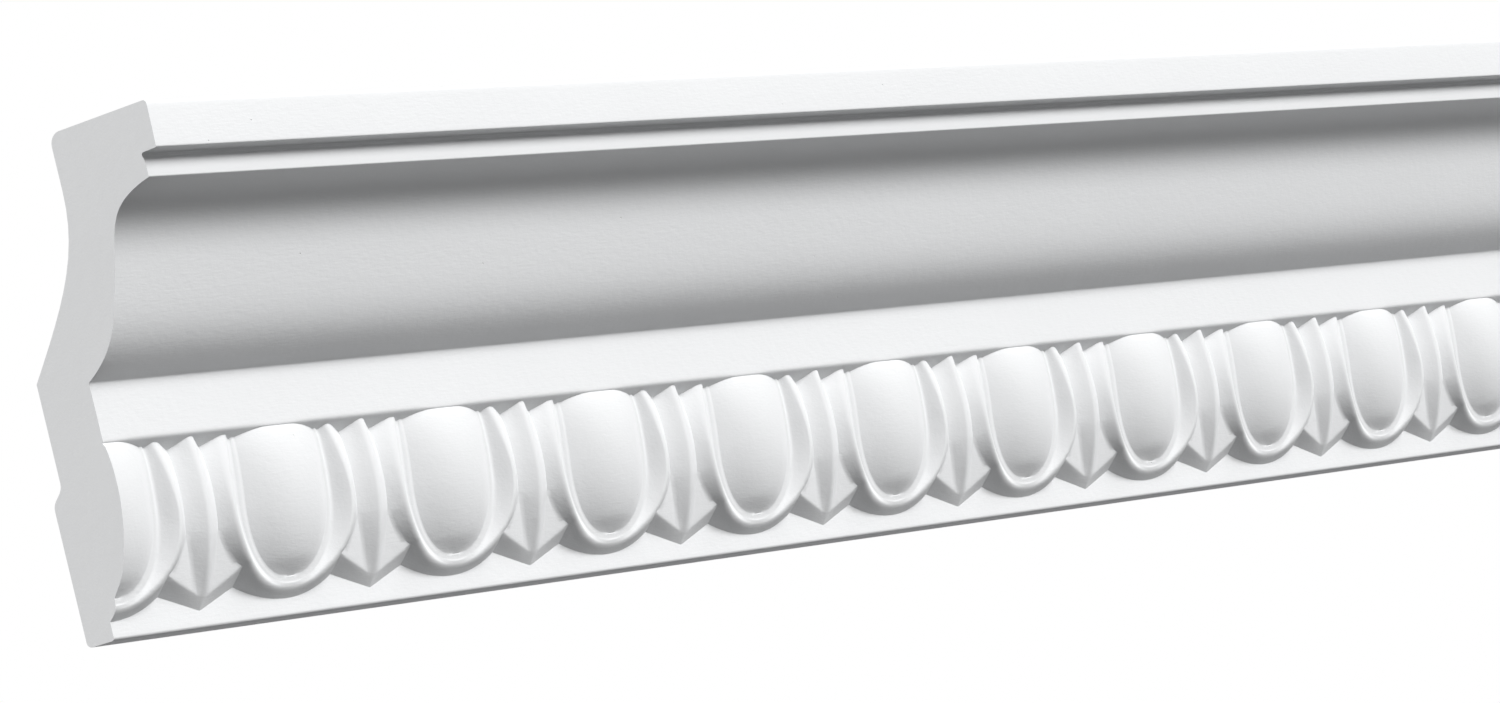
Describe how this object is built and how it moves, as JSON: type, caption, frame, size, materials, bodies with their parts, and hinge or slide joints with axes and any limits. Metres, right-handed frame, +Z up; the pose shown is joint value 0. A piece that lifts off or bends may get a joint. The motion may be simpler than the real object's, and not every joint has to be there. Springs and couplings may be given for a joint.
{
  "type": "cornice moulding section",
  "caption": "Square-cut length of cast cornice moulding for the joint of wall and ceiling, with top fascia, cyma, lower fascia and an egg-and-dart band, hollow behind.",
  "frame": {"origin": "middle of the flat back face that is glued to the wall", "axes": "+X along the length, +Y into the wall (the outward normal of the back face), +Z up to the ceiling face"},
  "size_m": [0.6204, 0.0467, 0.1],
  "materials": {
    "primed_polyurethane": "matte white factory primer on moulded high-density polyurethane foam"
  },
  "bodies": {
    "root": {"cornice_moulding": "primed_polyurethane"}
  },
  "joints": []
}
